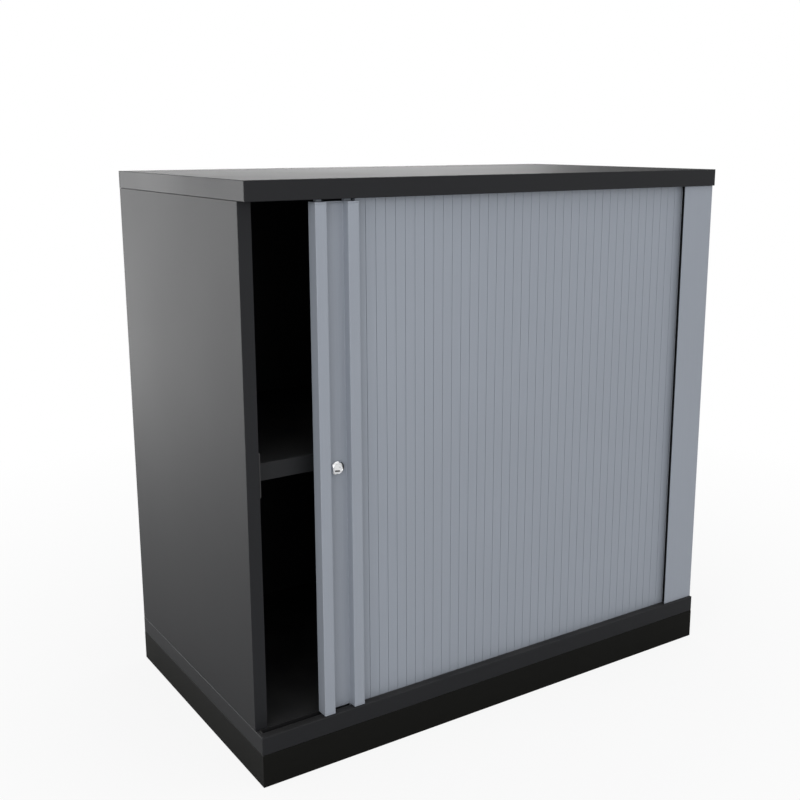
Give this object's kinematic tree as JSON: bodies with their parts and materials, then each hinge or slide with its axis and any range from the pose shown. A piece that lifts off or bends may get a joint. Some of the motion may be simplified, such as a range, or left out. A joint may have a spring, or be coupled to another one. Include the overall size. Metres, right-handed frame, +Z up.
{
  "type": "tambour door cabinet",
  "caption": "Low office storage cabinet with dark boards, a black plinth and a silver sideways roller shutter with a two-rib handle and a cylinder lock.",
  "frame": {"origin": "on the floor under the middle of the cabinet", "axes": "+Z up; +X to the right as seen from the front, along the width; the front faces -Y and the depth runs along +Y"},
  "size_m": [0.8, 0.44, 0.784],
  "materials": {
    "anthracite_board": "dark anthracite melamine-faced board, fine satin texture",
    "black_board": "matt black melamine-faced board",
    "inner_board": "dark melamine-faced board",
    "silver_plastic": "satin silver-grey plastic profile",
    "rail_plastic": "black slide plastic",
    "stop_rubber": "soft black rubber",
    "chrome": "bright chrome plate",
    "zinc": "bright zinc plate",
    "steel": "plain bright steel"
  },
  "bodies": {
    "cabinet": {"top_panel": "anthracite_board", "bottom_panel": "anthracite_board", "left_side_panel": "anthracite_board", "right_side_panel": "anthracite_board", "back_panel": "anthracite_board", "inner_side_panel": "inner_board", "inner_back_panel": "inner_board", "shelf": "inner_board", "plinth_front": "black_board", "plinth_back": "black_board", "plinth_left": "black_board", "plinth_right": "black_board", "corner_cover_strip": "silver_plastic", "corner_lip_seal": "stop_rubber", "lower_front_rail": "rail_plastic", "lower_front_curve": "rail_plastic", "lower_side_rail": "rail_plastic", "lower_rear_curve": "rail_plastic", "lower_back_rail": "rail_plastic", "upper_front_rail": "rail_plastic", "upper_front_curve": "rail_plastic", "upper_side_rail": "rail_plastic", "upper_rear_curve": "rail_plastic", "upper_back_rail": "rail_plastic", "lower_closed_stop": "stop_rubber", "lower_open_stop": "stop_rubber", "upper_closed_stop": "stop_rubber", "upper_open_stop": "stop_rubber", "strike_plate": "rail_plastic", "strike_screw_lower": "steel", "strike_screw_upper": "steel", "shelf_pin_left_front": "steel", "shelf_pin_left_back": "steel", "shelf_pin_right_front": "steel", "shelf_pin_right_back": "steel", "fitting_cam_left_low_front": "zinc", "fitting_cam_left_low_back": "zinc", "fitting_cam_left_high_front": "zinc", "fitting_cam_left_high_back": "zinc", "fitting_cam_right_low_front": "zinc", "fitting_cam_right_low_back": "zinc", "fitting_cam_right_high_front": "zinc", "fitting_cam_right_high_back": "zinc", "fitting_bolt_left_low_front": "steel", "fitting_bolt_left_low_back": "steel", "fitting_bolt_left_high_front": "steel", "fitting_bolt_left_high_back": "steel", "fitting_bolt_right_low_front": "steel", "fitting_bolt_right_low_back": "steel", "fitting_bolt_right_high_front": "steel", "fitting_bolt_right_high_back": "steel"},
    "door": {"tambour_shutter": "silver_plastic", "handle_profile": "silver_plastic", "handle_bottom_guide": "rail_plastic", "handle_top_guide": "rail_plastic", "lock_housing": "chrome", "lock_nut": "zinc"},
    "lock_cylinder": {"lock_plug": "chrome", "lock_cam": "zinc", "lock_cam_screw": "steel"}
  },
  "joints": [
    {"name": "door_slide", "type": "slide", "parent": "cabinet", "child": "door", "axis": [1, 0, 0], "range_m": [-0.093, 0.573], "deforming": ["tambour_shutter"]},
    {"name": "lock_turn", "type": "hinge", "parent": "door", "child": "lock_cylinder", "pos_m": [-0.275, -0.205, 0.412], "axis": [0, -1, 0], "range_deg": [0, 90]}
  ]
}
